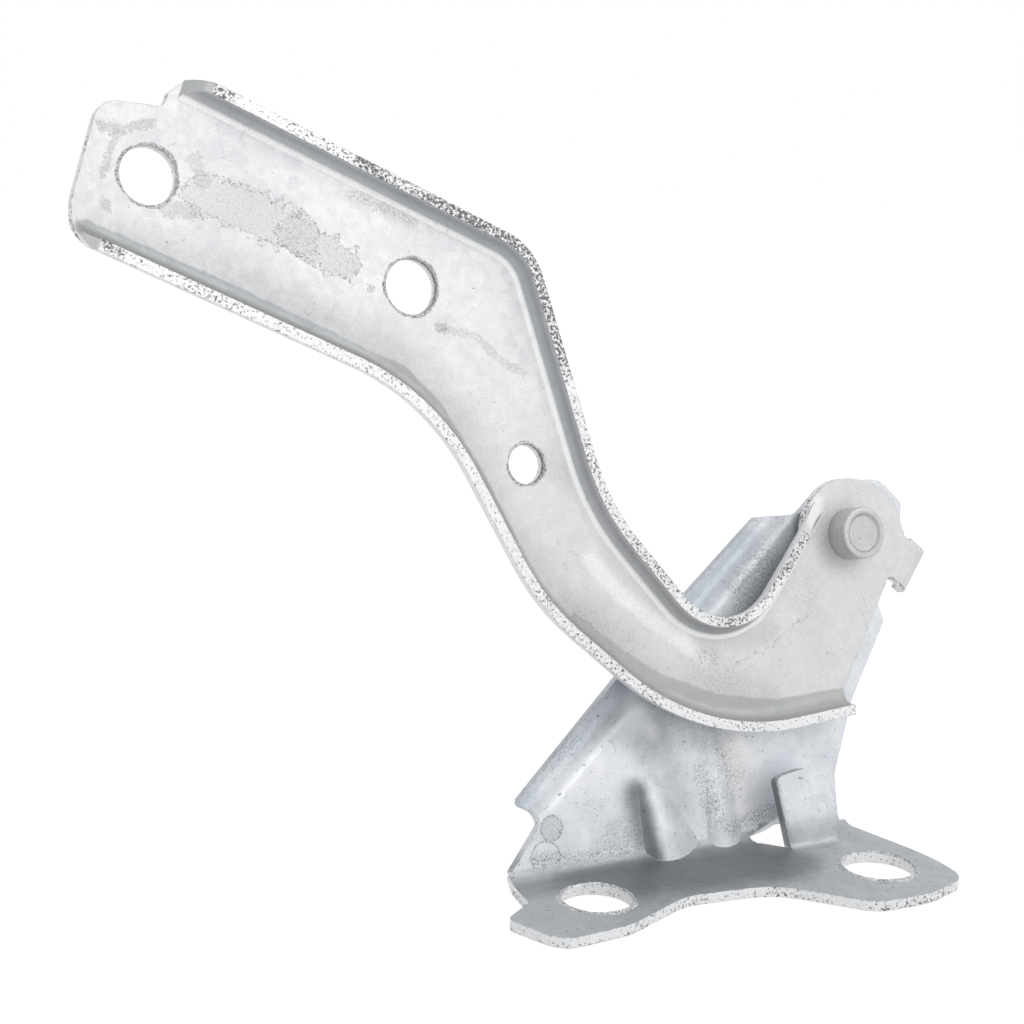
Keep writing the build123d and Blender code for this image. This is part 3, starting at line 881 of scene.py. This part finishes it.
    def material(self) -> bpy.types.Material:
        """Builds the arm's material."""
        material, graph = self.start("arm zinc")
        place, facing = self.plane.nodes(graph)
        where = graph.add("SeparateXYZ", {0: place}).outputs
        coat = Coat(graph, place, pitting=0.45)
        tone = graph.cover(self.bright, self.cloud, coat.skin["Cloud"], self.cloudiness)
        slant = graph.maths("SUBTRACT", where["X"], graph.times(where["Y"], self.head_slant))
        to_head = graph.ramp(slant, *self.head_reach)
        tone = graph.cover(tone, self.head, to_head, self.headiness)
        tone = graph.cover(tone, self.cloud, coat.skin["Mottle"], self.mottling)
        tone = coat.lay(tone, self.marks)
        tone = self.flanges(coat, facing, where, tone)
        tone, height = self.cut_edges(coat, facing, where["Z"], tone)
        for hole in self.holes:
            tone = coat.ring(tone, (hole.across, hole.up, WEB_FRONT), hole.bore / 2, hole.ring_width,
                             self.ring_gaps, hole.ring_strength)
        tone, normal = coat.weather(tone, self.scarred)
        rough = self.rough(graph, coat.skin["Mottle"])
        rough = graph.maths("MULTIPLY_ADD", to_head, self.head_roughness, rough)
        height = graph.maths("MULTIPLY_ADD", coat.skin["Height"], self.skin_relief, height)
        self.settle(graph, tone, rough, height, Normal=normal)
        return material

    def above_middle(self, graph: Graph, across: object, up: object) -> Socket:
        """Tells the upper half of the arm from the lower half.

        Args:
            graph: The material's graph.
            across: How far along the plane it is.
            up: How far up the plane it is.

        Returns:
            1 above the arm's middle line, and 0 below it.
        """
        middle = self.middle_start
        for fall in self.middle_falls:
            middle = graph.maths("SUBTRACT", middle, graph.ramp(across, *fall))
        return graph.ramp(graph.maths("SUBTRACT", up, middle), *self.middle_edge)

    def flanges(self, coat: Coat, facing: object, where: Sockets,
                tone: object) -> Socket:
        """Paints shade on the insides of the two flanges, a highlight along the upper flange's root, and a
        highlight on their outer walls.

        Args:
            coat: The coating.
            facing: The face's direction in the plane.
            where: The place's three parts.
            tone: The colour so far.

        Returns:
            The colour with the flanges on it.
        """
        graph = coat.graph
        across, up, out = where
        way = graph.add("SeparateXYZ", {0: facing}).outputs
        level = graph.maths("ABSOLUTE", way["Z"])
        climb = graph.maths("MULTIPLY_ADD", way["X"], self.flange_lean, way["Y"])
        above = self.above_middle(graph, across, up)
        side = graph.ramp(climb, *self.flange_sides)
        inner = graph.maths("ABSOLUTE", graph.maths("SUBTRACT", side, above))
        inside = graph.times(inner, graph.ramp(out, WEB_FRONT, WEB_FRONT + self.root_depth))
        upper = graph.times(inside, above)
        lower = graph.maths("SUBTRACT", inside, upper)
        # Painted shade on the lower flange's inside, faded a little towards the pivot.
        low = graph.times(graph.ramp(level, *self.lower_shade), lower)
        low = graph.times(low, graph.ramp(across, *self.lower_fade))
        tone = graph.cover(tone, self.lower_flange_shade, low)
        # Painted highlight along the upper flange's root bend.
        shine = graph.times(graph.ramp(level, *self.root_highlight), graph.ramp(level, *self.root_end))
        tone = graph.cover(tone, BURNISH_AND_HIGHLIGHT, shine, upper)
        # Painted shade on the upper flange's inside.
        gain = graph.ramp(across, *self.upper_shade_gain)
        high = graph.times(graph.ramp(level, *self.upper_shade), gain)
        high = graph.times(high, graph.ramp(out, *self.upper_tip))
        tone = graph.cover(tone, self.upper_flange_shade, high, upper)
        # Painted highlight on the flanges' outer walls.
        outer = graph.maths("SUBTRACT", 1.0, inner)
        return graph.cover(tone, BURNISH_AND_HIGHLIGHT, outer, graph.ramp(level, *self.outer_highlight))

    def cut_edges(self, coat: Coat, facing: object, out: object,
                  tone: object) -> tuple[Socket, Socket]:
        """Colours the sheared edges.

        Args:
            coat: The coating.
            facing: The face's direction in the plane.
            out: How far out of the upright's face it is.
            tone: The colour so far.

        Returns:
            The colour and the height of the cut edges.
        """
        graph = coat.graph
        level = graph.maths("ABSOLUTE", graph.part(facing, "Z"))
        rim = graph.times(graph.ramp(level, *self.rim_slope),
                          graph.ramp(out, WEB_FRONT, WEB_FRONT + self.rim_fade, 1.0, 0.0))
        tip = graph.times(graph.ramp(out, self.flange_tip, self.flange_tip + self.tip_fade),
                          graph.ramp(level, *self.tip_slope))
        return coat.shear(tone, graph.maths("MAXIMUM", rim, tip), graph.ramp(out, self.web_back, WEB_FRONT),
                          graph.times(rim, self.rim_darkness), self.dark_tips, self.dulling)


@dataclass(frozen=True)
class BracketFinish(Finish):
    """Bluish zinc on the bracket, with dust, painted shade in its fold and on the foot, a painted shadow of
    the arm, and painted highlights.
    """

    plane: SheetPlane
    bright: Colour = (0.86, 0.885, 0.925)
    cloud: Colour = (0.65, 0.68, 0.725)
    # The foot's tone: painted darker than the upright, as shade.
    foot: Colour = (0.53, 0.56, 0.59)
    # Painted shade for the fold's bend.
    fold_shade: Colour = (0.36, 0.38, 0.40)
    cloudiness: float = 0.55
    mottling: float = 0.5
    foot_mottling: float = 0.2
    # How much painted shade the fold and the gussets' toes take.
    fold_shading: float = 0.8
    toe_cover: float = 0.85
    scarred: float = 0.6
    roughness: float = 0.48
    swing: float = 0.14
    metallic: float = 0.45
    bump: float = 0.35
    relief: float = 0.00025
    skin_relief: float = 0.9
    low_down: Ramp = (5.0, 9.0, 1.0, 0.0)
    fold_slope: Ramp = (0.3, 0.6)
    toe_reach: Ramp = (9.2, 11.2, 1.0, 0.0)
    foot_slope: Ramp = (0.75, 0.96)
    edge_slope: Ramp = (0.1, 0.25, 1.0, 0.0)
    edge_fade: float = 0.2
    edge_darkness: float = 0.1
    marks: tuple[Mark, ...] = (
        Mark(at(-2.4, (-84.9, -47.9), (-24.1, 0.5)), 3.4, 0.7, BLUE_GREY, 0.2, Tear.MIDDLE, 0.6),
        # Painted shadow of the arm's upper flange on the upright, beside the pivot.
        Mark(at(0.0, (-14.0, 4.0), (-22.0, -6.0), (-29.0, -12.0)), 5.0, 0.45, DUST_AND_SHADE_GREY, 0.2, Tear.MIDDLE, 0.8,
             0.5),
        dust(at(0.0, (-20.5, -5.0), (-27.0, -11.0)), 3.6, 0.45),
        # Painted shadow of the arm on the upright, below its lower flange.
        dust_and_shade(at(0.0, (-66.0, -33.8), (-53.0, -38.0)), 4.5, 0.45, speckle=0.2),
        Mark(at(0.0, (-53.0, -38.0), (-50.0, -46.0), (-49.0, -54.0)), 3.2, 0.42, DUST_AND_SHADE_GREY, 0.2, Tear.MIDDLE, 0.85,
             0.15),
        dust_and_shade(at(0.0, (-50.0, -38.0), (-31.8, -43.3)), 3.6, 0.38),
        # Painted shade on the narrow gusset's left flank.
        Mark(((-60.5, -49.0, 0.4), (-59.5, -56.0, 1.0), (-57.6, -63.0, 2.4)), 2.5, 0.6, DUST_AND_SHADE_GREY, 0.15,
             Tear.MIDDLE, 0.8, 0.3),
        Mark(((-58.9, -49.5, 1.0), (-57.4, -63.0, 2.8)), 2.4, 1.0, FOOT_MOTTLE_AND_SHADE, 0.15, Tear.MIDDLE, 0.7),
        Mark(((-40.0, -40.0, 0.0), (-37.0, -50.0, 0.6), (-36.0, -58.0, 0.6)), 3.0, 0.3, DUST_AND_SHADE_GREY, 0.4,
             Tear.MIDDLE, 0.8, 0.6),
        # Painted light right of the broad gusset, over the place the tab shades.
        Mark(at(0.0, (-32.4, -45.0), (-29.4, -58.0)), 5.0, 0.95, BURNISH_AND_HIGHLIGHT, 0.2, Tear.MIDDLE, 0.7),
        # Painted shade at the top of the narrow gusset.
        dust_and_shade(((-56.5, -40.0, 0.0), (-55.5, -47.0, 1.5)), 2.2, 0.35, speckle=0.2),
        Mark(at(0.2, (-34.9, -42.7), (-33.1, -48.0)), 2.6, 0.35, BROWN, 0.4, Tear.FINE, 0.7, 0.7),
        dust(at(-2.0, (-77.0, -41.5), (-72.0, -37.5)), 2.4, 0.4),
        dust(at(0.0, (-83.0, -60.8), (-72.0, -62.4)), 2.0, 0.7),
        dust(at(0.0, (-70.0, -62.0), (-59.0, -62.6)), 1.6, 0.7),
        dust(at(0.0, (-66.0, -59.5), (-61.0, -58.0)), 3.4, 0.3),
        dust(at(0.6, (-42.5, -47.6), (-39.6, -58.0)), 2.2, 0.5),
        dust(at(0.6, (-36.4, -45.0), (-35.0, -52.0)), 2.4, 0.35),
        dust(at(0.6, (-37.0, -60.8), (-24.0, -57.5)), 1.6, 0.6),
        Mark(at(0.0, (-79.5, -54.2), (-79.4, -54.2)), 2.5, 0.45, GREY, 0.1, Tear.FINE, 0.06, 0.5),
        crack(at(0.6, (-47.6, -48.6), (-45.2, -55.0), (-42.6, -61.2)), 0.4, 0.6),
        crack(((-53.8, -43.5, 0.4), (-54.3, -52.0, 1.6)), 0.25, 0.45),
        # Painted highlights: the lit bulge of the lower left panel and the top of the ridge above the narrow
        # gusset.
        Mark(at(0.0, (-76.0, -47.0), (-64.0, -44.0)), 4.5, 0.55, BURNISH_AND_HIGHLIGHT, 0.3, Tear.MIDDLE, 0.8),
        Mark(at(0.0, (-57.6, -33.0), (-53.6, -37.0)), 1.9, 0.3, BURNISH_AND_HIGHLIGHT, 0.3, Tear.MIDDLE, 0.8),
        crack(at(0.0, (-31.3, -62.8), (-28.0, -61.6), (-22.7, -59.8)), 0.5, 0.8),
        # Painted shade on the tab's left side.
        Mark(at(6.6, (-29.2, -50.5), (-26.6, -64.0)), 1.4, 1.0, FOOT_MOTTLE_AND_SHADE, 0.15, Tear.MIDDLE, 0.6),
        dust(at(7.9, (-20.0, -56.0), (-16.0, -55.6)), 1.2, 0.2),
    )
    drops: tuple[tuple[Point, float], ...] = (((-79.5, -54.2, 0.0), 2.5), ((-81.4, -60.0, 0.0), 3.4))
    # Painted shade on the foot's top, in broad dark bands.
    foot_shade_marks: tuple[Mark, ...] = (
        Mark(at(FOOT_TOP, (6.0, 5.5), (42.0, 3.0)), 10.0, 0.95, FOOT_MOTTLE_AND_SHADE, 0.2, Tear.BROAD, 0.6),
        Mark(at(FOOT_TOP, (44.0, -4.0), (50.0, 0.0)), 4.0, 0.6, FOOT_MOTTLE_AND_SHADE, 0.2, Tear.BROAD, 0.7),
        Mark(at(FOOT_TOP, (-14.0, 9.0), (2.0, 9.0)), 3.5, 0.4, FOOT_MOTTLE_AND_SHADE, 0.2, Tear.BROAD, 0.7),
    )
    dark_edges: tuple[Mark, ...] = (
        dark_stretch(at(1.0, (-18.0, -16.5), (-8.0, -21.6)), 3.0, 1.5),
        dark_stretch(at(1.0, (35.7, -16.4), (46.5, -27.5)), 3.0, 1.8),
        dark_stretch(at(1.0, (60.0, -25.0), (74.0, -19.0)), 3.0, 0.5),
    )

    def material(self) -> bpy.types.Material:
        """Builds the bracket's material."""
        material, graph = self.start("bracket zinc")
        place, _ = self.plane.nodes(graph)
        source = graph.add("TexCoord").outputs
        ground = graph.scaled(source["Object"], PER_METRE)
        coat = Coat(graph, place, cloud_size=12.0, mottle_size=3.4, pitting=0.8)
        foot_coat = Coat(graph, ground, cloud_size=12.0, mottle_size=3.0, pitting=0.0)
        flat = graph.part(source["Normal"], "Z")
        low_down = graph.ramp(graph.part(ground, "Z"), *self.low_down)
        upright = graph.cover(self.bright, self.cloud, coat.skin["Cloud"], self.cloudiness)
        upright = graph.cover(upright, self.cloud, coat.skin["Mottle"], self.mottling)
        upright = coat.lay(upright, self.marks)
        for middle, radius in self.drops:
            upright = coat.ring(upright, middle, radius)
        # The foot's tone: painted shade, with random mottle and painted shade marks.
        foot = graph.cover(self.foot, FOOT_MOTTLE_AND_SHADE, foot_coat.skin["Mottle"], self.foot_mottling)
        foot = foot_coat.lay(foot, self.foot_shade_marks)
        # Painted shade over the fold between the upright and the foot.
        fold_shade_mask = graph.times(graph.ramp(flat, *self.fold_slope), low_down)
        tone = graph.cover(upright, self.fold_shade, fold_shade_mask, self.fold_shading)
        # The foot's painted shade, over its upward faces and the gussets' toes.
        forward = graph.ramp(graph.part(ground, "Y"), *self.toe_reach)
        on_toe = graph.times(graph.times(forward, low_down), self.toe_cover)
        on_foot = graph.maths("MAXIMUM", graph.ramp(flat, *self.foot_slope), on_toe)
        tone = graph.cover(tone, foot, on_foot)
        tone, height = self.cut_edges(foot_coat, flat, tone)
        tone, normal = coat.weather(tone, self.scarred)
        rough = self.rough(graph, coat.skin["Mottle"])
        height = graph.maths("MULTIPLY_ADD", coat.skin["Height"], self.skin_relief, height)
        self.settle(graph, tone, rough, height, Normal=normal)
        return material

    def cut_edges(self, coat: Coat, flat: object,
                  tone: object) -> tuple[Socket, Socket]:
        """Colours the sheared edges of the foot.

        Args:
            coat: The foot's coating.
            flat: How squarely the face looks up.
            tone: The colour so far.

        Returns:
            The colour and the height of the cut edges.
        """
        graph = coat.graph
        rise = graph.part(coat.place, "Z")
        sideways = graph.ramp(graph.maths("ABSOLUTE", flat), *self.edge_slope)
        cut = graph.times(sideways, graph.ramp(rise, FOOT_TOP, FOOT_TOP + self.edge_fade, 1.0, 0.0))
        depth = graph.ramp(rise, 0.0, FOOT_TOP, 1.0, 0.0)
        return coat.shear(tone, cut, depth, self.edge_darkness, self.dark_edges)


@dataclass(frozen=True)
class TurnedFinish(Finish):
    """Turned or headed steel, with fine rings round the pivot's axis."""

    plane: SheetPlane
    name: str
    bright: Colour
    dark: Colour
    roughness: float
    swing: float = 0.14
    metallic: float = 0.7
    bump: float = 0.3
    relief: float = 0.0002
    ringing: float = 0.7
    mottling: float = 0.4
    dark_ring: float = 4.3
    ring_width: float = 0.6
    ring_darkness: float = 0.6
    ring_relief: float = 0.5
    scarred: float = 0.3

    def material(self) -> bpy.types.Material:
        """Builds the turned piece's material."""
        material, graph = self.start(self.name)
        place, _ = self.plane.nodes(graph)
        turned = Effect.use(graph, "turned rings", {"Place": place})
        coat = Coat(graph, place, cloud_size=4.0, mottle_size=1.4)
        tone = graph.cover(self.bright, self.dark, turned["Rings"], self.ringing)
        tone = graph.cover(tone, self.dark, coat.skin["Mottle"], self.mottling)
        off = graph.maths("ABSOLUTE", graph.maths("SUBTRACT", turned["Radius"], self.dark_ring))
        ring = graph.ramp(off, 0.0, self.ring_width, self.ring_darkness, 0.0)
        tone, normal = coat.weather(graph.cover(tone, self.dark, ring), self.scarred)
        height = graph.maths("MULTIPLY_ADD", turned["Rings"], self.ring_relief, coat.skin["Height"])
        self.settle(graph, tone, self.rough(graph, turned["Rings"]), height, Normal=normal)
        return material


@dataclass(frozen=True)
class LipFinish(Finish):
    """The torn lip that a punch leaves round a hole."""

    plane: SheetPlane
    bright: Colour = (0.86, 0.87, 0.88)
    dark: Colour = (0.12, 0.125, 0.13)
    mottling: float = 0.35
    speckling: float = 0.55
    roughness: float = 0.5
    swing: float = 0.2
    metallic: float = 0.45
    bump: float = 0.5
    relief: float = 0.0002

    def material(self) -> bpy.types.Material:
        """Builds the lip's material."""
        material, graph = self.start("torn lip")
        place, _ = self.plane.nodes(graph)
        skin = Effect.use(graph, "zinc skin", {"Place": place, "Mottle Size": 1.2, "Grain Size": 0.25})
        specks = graph.times(skin["Specks"], self.speckling)
        torn = graph.maths("MULTIPLY_ADD", skin["Mottle"], self.mottling, specks)
        tone = graph.cover(self.bright, self.dark, torn)
        self.settle(graph, tone, self.rough(graph, skin["Mottle"]), skin["Height"])
        return material


@dataclass(frozen=True)
class TornLip:
    """A thin uneven lip round a punched hole, whose height and width change round it."""

    hole: PunchedHole
    body: Body
    slot: Slot
    lip: float = 0.7
    rise: float = 0.25
    sunk: float = 0.05
    crest: float = 0.25
    uneven: float = 0.22
    jagged: float = 0.25
    steps: int = 120
    waves: tuple[tuple[int, float], ...] = ((7, 0.6), (19, 0.4))

    def profile(self, turn: float) -> tuple[Place, ...]:
        """Gives the lip's section at one turn round the hole.

        Args:
            turn: The turn, in radians.

        Returns:
            The section's corners: how far from the hole's middle and how high, in millimetres.
        """
        wave = math.sin(3 * turn + self.hole.bore)
        for count, share in self.waves:
            wave += share * math.sin(count * turn)
        inner = self.hole.bore / 2
        width = self.lip * (1.0 + self.uneven * wave)
        height = self.rise * (1.0 + self.jagged * wave)
        return (inner, -self.sunk), (inner + self.crest * width, height), (inner + width, -self.sunk)

    def build(self, middle: Vector, normal: Vector, material: bpy.types.Material) -> None:
        """Makes the lip.

        Args:
            middle: The hole's middle, in metres.
            normal: The way that the lip rises.
            material: Its material.
        """
        side = normal.orthogonal().normalized()
        other = normal.cross(side)
        mesh = bmesh.new()
        rows = []
        for step in range(self.steps):
            turn = 2 * math.pi * step / self.steps
            away = side * math.cos(turn) + other * math.sin(turn)
            rows.append([mesh.verts.new(middle + (away * reach + normal * height) * MM)
                         for reach, height in self.profile(turn)])
        for row, after in zip(rows, rows[1:] + rows[:1]):
            for first, second in ((0, 1), (1, 2), (2, 0)):
                mesh.faces.new((row[first], after[first], after[second], row[second]))
        bmesh.ops.recalc_face_normals(mesh, faces=mesh.faces)
        data = bpy.data.meshes.new(self.hole.name)
        mesh.to_mesh(data)
        mesh.free()
        data.materials.append(material)
        piece = bpy.data.objects.new(self.hole.name, data)
        bpy.context.scene.collection.objects.link(piece)
        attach(piece, self.body.value)
        log.info("built %s", self.hole.name)


@dataclass
class PhotoView:
    """The camera, at the photograph's viewing angle."""

    aim: Point = (-0.01484, 0.0142, 0.07756)
    azimuth: float = -30.04
    elevation: float = 11.41
    roll: float = 2.51
    distance: float = 0.3675
    lens: float = 67.79
    sensor: float = 36.0
    nearest: float = 0.01

    def place(self) -> None:
        """Makes the camera and gives it to the scene."""
        turn, rise, tilt = (math.radians(v) for v in (self.azimuth, self.elevation, self.roll))
        back = Vector((math.sin(turn) * math.cos(rise), -math.cos(turn) * math.cos(rise),
                       math.sin(rise)))
        right = Vector((math.cos(turn), math.sin(turn), 0.0))
        up = back.cross(right)
        tilted_right = right * math.cos(tilt) + up * math.sin(tilt)
        tilted_up = up * math.cos(tilt) - right * math.sin(tilt)
        data = bpy.data.cameras.new("photo view")
        data.lens = self.lens
        data.sensor_width = self.sensor
        data.clip_start = self.nearest
        camera = bpy.data.objects.new("photo view", data)
        camera.matrix_world = (
            Matrix.Translation(Vector(self.aim) + back * self.distance)
            @ Matrix((tilted_right, tilted_up, back)).transposed().to_4x4()
        )
        bpy.context.scene.collection.objects.link(camera)
        bpy.context.scene.camera = camera


@dataclass(frozen=True)
class SoftLamp:
    """One soft box of the studio, aimed at the hinge."""

    name: str
    place: Point
    size: float
    power: float


@dataclass
class Studio:
    """A pale floor, a white surround and soft lamps at a plain level."""

    aim: Point = (0.0, 0.0, 0.07)
    floor_size: float = 6.0
    floor_drop: float = 0.0002
    surround: float = 0.60
    shadow_reach: float = 0.25
    glow: float = 1.25
    glow_near: float = 0.68
    glow_far: float = 0.85
    floor_tone: float = 0.9
    floor_roughness: float = 0.9
    lamps: tuple[SoftLamp, ...] = (
        SoftLamp("key lamp", (0.62, -0.70, 0.90), 0.9, 3.3),
        SoftLamp("front lamp", (0.05, -1.35, 0.45), 1.4, 2.6),
    )

    def light(self) -> None:
        """Makes the lamps and the surround."""
        for lamp in self.lamps:
            data = bpy.data.lights.new(lamp.name, "AREA")
            data.shape = "DISK"
            data.size = lamp.size
            data.energy = lamp.power
            shown = bpy.data.objects.new(lamp.name, data)
            way = Vector(lamp.place) - Vector(self.aim)
            shown.matrix_world = (Matrix.Translation(Vector(lamp.place))
                                  @ way.to_track_quat("Z", "Y").to_matrix().to_4x4())
            bpy.context.scene.collection.objects.link(shown)
        world = bpy.data.worlds.new("surround")
        world.use_nodes = True
        graph = Graph(world.node_tree)
        output = next(n for n in world.node_tree.nodes if n.type == "OUTPUT_WORLD")
        lit = world.node_tree.nodes["Background"]
        lit.inputs["Color"].default_value = (1.0, 1.0, 1.0, 1.0)
        lit.inputs["Strength"].default_value = self.surround
        seen = graph.add("Background", {"Color": (1.0, 1.0, 1.0, 1.0), "Strength": 1.0})
        mixed = graph.add("MixShader", {0: self.seen_rays(graph), 1: lit.outputs[0],
                                        2: seen.outputs[0]})
        graph.feed(output.inputs["Surface"], mixed.outputs[0])
        bpy.context.scene.world = world

    def seen_rays(self, graph: Graph) -> Socket:
        """Tells the rays that see the background from those that light the hinge.

        Args:
            graph: The graph to add to.

        Returns:
            A mask that is 1 for camera, glossy and transmission rays.
        """
        path = graph.add("LightPath")
        seen = graph.maths("MAXIMUM", path.outputs["Is Camera Ray"], path.outputs["Is Glossy Ray"])
        return graph.maths("MAXIMUM", seen, path.outputs["Is Transmission Ray"])

    def lay_floor(self) -> None:
        """Makes the pale floor, which keeps the hinge's shadow."""
        mesh = bpy.data.meshes.new("floor")
        half = self.floor_size / 2
        sides = ((-half, -half), (half, -half), (half, half), (-half, half))
        corners = [(x, y, -self.floor_drop) for x, y in sides]
        mesh.from_pydata(corners, [], [(0, 1, 2, 3)])
        floor = bpy.data.objects.new("floor", mesh)
        bpy.context.scene.collection.objects.link(floor)
        material = bpy.data.materials.new("pale floor")
        material.use_nodes = True
        graph = Graph(material.node_tree)
        surface = material.node_tree.nodes["Principled BSDF"]
        surface.inputs["Base Color"].default_value = (*(self.floor_tone,) * 3, 1.0)
        surface.inputs["Roughness"].default_value = self.floor_roughness
        surface.inputs["Specular IOR Level"].default_value = 0.0
        glow = graph.add("Emission", {"Color": (1.0, 1.0, 1.0, 1.0), "Strength": self.glow})
        path = self.seen_rays(graph)
        reach = graph.vector("LENGTH", graph.add("TexCoord").outputs["Object"])
        share = graph.ramp(reach, self.shadow_reach, 2 * self.shadow_reach,
                           self.glow_near, self.glow_far)
        mixed = graph.add("MixShader", {0: graph.times(path, share),
                                        1: surface.outputs[0], 2: glow.outputs[0]})
        output = next(n for n in material.node_tree.nodes if n.type == "OUTPUT_MATERIAL")
        graph.feed(output.inputs["Surface"], mixed.outputs[0])
        mesh.materials.append(material)


def dress(solid: Solid, material: bpy.types.Material) -> None:
    """Gives a solid its material in every slot it has.

    Args:
        solid: The solid.
        material: Its material.
    """
    shown = frame["nodes"][solid.value]
    slots = shown.material_slots
    if not slots:
        shown.data.materials.append(material)
    for slot in slots:
        slot.material = material
    log.info("dressed %s", solid.value)


@dataclass
class HingeArm:
    """The curved arm with its flanges, holes and lug."""

    plane: SheetPlane
    holes: tuple[PunchedHole, ...] = (
        PunchedHole("front_bolt_lip", -155.1, 75.9, 11.0, 0.1, 0.5),
        PunchedHole("rear_bolt_lip", -103.3, 55.3, 11.0, 0.14, 1.0),
        PunchedHole("gauge_lip", -80.7, 19.4, 8.0, 0.16, 1.0),
    )

    def finish(self) -> None:
        """Gives the arm its zinc."""
        dress(Solid.ARM, ArmFinish(self.plane, self.holes).material())

    def build_lips(self, material: bpy.types.Material) -> None:
        """Makes the torn lips of the three holes.

        Args:
            material: Their material.
        """
        for hole in self.holes:
            middle = self.plane.place(hole.across, hole.up, WEB_FRONT)
            TornLip(hole, Body.ARM, Slot.ARM).build(middle, self.plane.outwards, material)


@dataclass
class BaseBracket:
    """The bracket with its foot, gussets and tab."""

    plane: SheetPlane
    lip: float = 1.1
    lip_rise: float = 0.35
    holes: tuple[PunchedHole, ...] = (
        PunchedHole("front_foot_lip", 0.0, 0.0, 14.0),
        PunchedHole("rear_foot_lip", 63.2, -9.2, 15.0),
    )

    def finish(self) -> None:
        """Gives the bracket its zinc."""
        dress(Solid.BRACKET, BracketFinish(self.plane).material())

    def build_lips(self, material: bpy.types.Material) -> None:
        """Makes the torn lips of the two foot holes.

        Args:
            material: Their material.
        """
        for hole in self.holes:
            middle = Vector((hole.across, hole.up, FOOT_TOP)) * MM
            lip = TornLip(hole, Body.BRACKET, Slot.BRACKET, self.lip, self.lip_rise)
            lip.build(middle, Vector((0.0, 0.0, 1.0)), material)


@dataclass
class Pivot:
    """The rivet with its bush and washers."""

    plane: SheetPlane

    def finish(self) -> None:
        """Gives each turned piece its steel."""
        rivet = TurnedFinish(self.plane, "rivet steel", (0.74, 0.74, 0.75), (0.40, 0.40, 0.41), 0.42)
        bush = TurnedFinish(self.plane, "bush steel", (0.5, 0.5, 0.5), (0.3, 0.3, 0.3), 0.4)
        washer = TurnedFinish(self.plane, "washer steel", (0.6, 0.6, 0.61), (0.4, 0.4, 0.41), 0.42)
        dress(Solid.RIVET, rivet.material())
        dress(Solid.BUSH, bush.material())
        for solid in (Solid.THRUST_WASHER, Solid.TAIL_WASHER):
            dress(solid, washer.material())


def main() -> None:
    """Builds the view, the studio and each sub-assembly, in that order."""
    logging.basicConfig(level=logging.INFO, format="%(name)s: %(message)s")
    bpy.context.scene.view_settings.view_transform = "Standard"
    plane = SheetPlane.of_joint(frame["joints"][0])
    PhotoView().place()
    studio = Studio()
    studio.light()
    studio.lay_floor()
    Effect.build_all()
    torn_lip = LipFinish(plane).material()
    for pressing in (HingeArm(plane), BaseBracket(plane)):
        pressing.finish()
        pressing.build_lips(torn_lip)
    Pivot(plane).finish()


if __name__ == "__main__":
    main()
